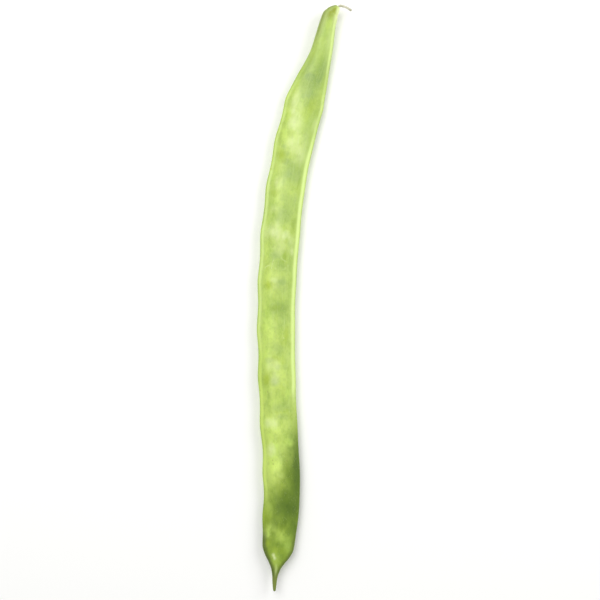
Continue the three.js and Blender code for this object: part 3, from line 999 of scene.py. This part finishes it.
def stalk_mesh():
    """The dry stalk: a thread of round rows along its line."""
    curve = stalk_curve()
    length = curve[0][-1]
    share = np.linspace(0, 1, STALK_ROWS)[:, None]
    angle = even_angles(STALK_AROUND)
    centre, ahead = along_curve(curve, share * length)
    across = np.cross(ahead, [0, 0, 1])
    across /= np.linalg.norm(across, axis=-1, keepdims=True)
    up = np.cross(across, ahead)
    x, z = ring(stalk_radius(share, angle), angle)
    shift = pod_shift()
    points = centre + across * x[..., None] + up * z[..., None] + shift
    start, end = centre[[0, -1], 0] + shift
    place = np.stack([x, share * length + 0 * x, z], axis=-1)
    place_ends = np.array([[0, 0, 0], [0, length, 0]])
    attributes = {"place": np.vstack([place.reshape(-1, 3), place_ends]) * MM}
    return closed_mesh("dry_stalk_fibre", points, start, end, attributes)


def dry_fibre():
    """Dried fibre: grey-brown, darker in its grooves and towards its end."""
    look = bpy.context.scene.bean_stalk
    shader = Shader("dry_stalk", {"Metallic": 0.0, "Specular IOR Level": 0.25})
    place, (_, along, _) = shader.attribute("place")
    fibre = shader.noise(place, *FIBRE_NOISE)
    dark = shader.step(fibre, *FIBRE_GROOVES) + shader.step(along * (1 / MM), *FIBRE_END)
    colour = shader.mix(dark, look.fibre, look.dark)
    roughness, gain = FIBRE_ROUGHNESS
    return shader.finish(colour, roughness + fibre * gain, shader.bump(fibre, FIBRE_HEIGHT))


def area_light(name, place, size, watts):
    """A soft square light at a place, turned to the pod."""
    data = bpy.data.lights.new(name, "AREA")
    data.size = size
    data.energy = watts
    light = bpy.data.objects.new(name, data)
    light.location = place
    light.rotation_euler = (-Vector(place)).to_track_quat("-Z", "Y").to_euler()
    bpy.context.scene.collection.objects.link(light)


def add_floor(colour):
    """A plain square floor at Z = 0."""
    corners = [(x * FLOOR_HALF, y * FLOOR_HALF, 0) for x, y in ((-1, -1), (1, -1), (1, 1), (-1, 1))]
    mesh = bpy.data.meshes.new("floor")
    mesh.from_pydata(corners, [], [(0, 1, 2, 3)])
    shader = Shader("floor", {"Base Color": (*colour, 1), "Roughness": 0.7, "Specular IOR Level": 0.2})
    mesh.materials.append(shader.material)
    floor = bpy.data.objects.new("floor", mesh)
    bpy.context.scene.collection.objects.link(floor)


def add_sky(strength):
    """Even white light from all round."""
    world = bpy.data.worlds.new("studio")
    world.use_nodes = True
    background = world.node_tree.nodes["Background"].inputs
    background["Strength"].default_value = strength
    background["Color"].default_value = (1, 1, 1, 1)
    bpy.context.scene.world = world


def add_camera(lens, view_width):
    """A camera that looks straight down, so far up that view_width fills the view."""
    data = bpy.data.cameras.new("camera")
    data.lens = lens
    camera = bpy.data.objects.new("camera", data)
    low, high = CAD_BOX
    above = Vector((0, 0, view_width * lens / data.sensor_width))
    camera.location = (low + high) / 2 + above + Vector(CAMERA_ASIDE) * MM
    bpy.context.scene.collection.objects.link(camera)
    bpy.context.scene.camera = camera


class BEAN_OT_pod(bpy.types.Operator):
    """Builds the pod with its skin, in place of the frame's plain pod"""

    bl_idname = "bean.pod"
    bl_label = "Pod"

    def execute(self, context):
        place_piece("pod_skin", pod_mesh(), pod_skin(), "pod")
        return {"FINISHED"}


class BEAN_OT_dry_stalk(bpy.types.Operator):
    """Builds the dry stalk, in place of the frame's plain thread"""

    bl_idname = "bean.dry_stalk"
    bl_label = "Dry stalk"

    def execute(self, context):
        place_piece("dry_stalk_fibre", stalk_mesh(), dry_fibre(), "dry_stalk")
        return {"FINISHED"}


class BEAN_OT_stage(bpy.types.Operator):
    """Builds the floor, the lights and the camera that looks straight down"""

    bl_idname = "bean.stage"
    bl_label = "Stage"

    def execute(self, context):
        stage = context.scene.bean_stage
        add_floor(stage.floor)
        add_sky(stage.sky)
        area_light("key", *KEY_LIGHT, stage.key_watts)
        area_light("side", *SIDE_LIGHT, stage.side_watts)
        add_camera(stage.lens, stage.view_width)
        context.scene.view_settings.view_transform = "Standard"
        return {"FINISHED"}


class BEAN_PT_panel(bpy.types.Panel):
    """Settings and builders of the green bean"""

    bl_label = "Green bean"
    bl_space_type = "VIEW_3D"
    bl_region_type = "UI"
    bl_category = "Green bean"

    def draw(self, context):
        for operator, group in (
            (BEAN_OT_pod, context.scene.bean_pod),
            (BEAN_OT_dry_stalk, context.scene.bean_stalk),
            (BEAN_OT_stage, context.scene.bean_stage),
        ):
            column = self.layout.column(align=True)
            column.operator(operator.bl_idname)
            for name in group.bl_rna.properties.keys():
                if name not in {"rna_type", "name"}:
                    column.prop(group, name)


CLASSES = (
    PodSettings, StalkSettings, StageSettings, BEAN_OT_pod, BEAN_OT_dry_stalk, BEAN_OT_stage, BEAN_PT_panel,
)


def register():
    for cls in CLASSES:
        bpy.utils.register_class(cls)
    bpy.types.Scene.bean_pod = PointerProperty(type=PodSettings)
    bpy.types.Scene.bean_stalk = PointerProperty(type=StalkSettings)
    bpy.types.Scene.bean_stage = PointerProperty(type=StageSettings)


def unregister():
    for name in ("bean_pod", "bean_stalk", "bean_stage"):
        delattr(bpy.types.Scene, name)
    for cls in reversed(CLASSES):
        bpy.utils.unregister_class(cls)


def main():
    """Builds the stage, the pod and the stalk."""
    register()
    bpy.ops.bean.stage()
    bpy.ops.bean.pod()
    bpy.ops.bean.dry_stalk()


if __name__ == "__main__":
    main()
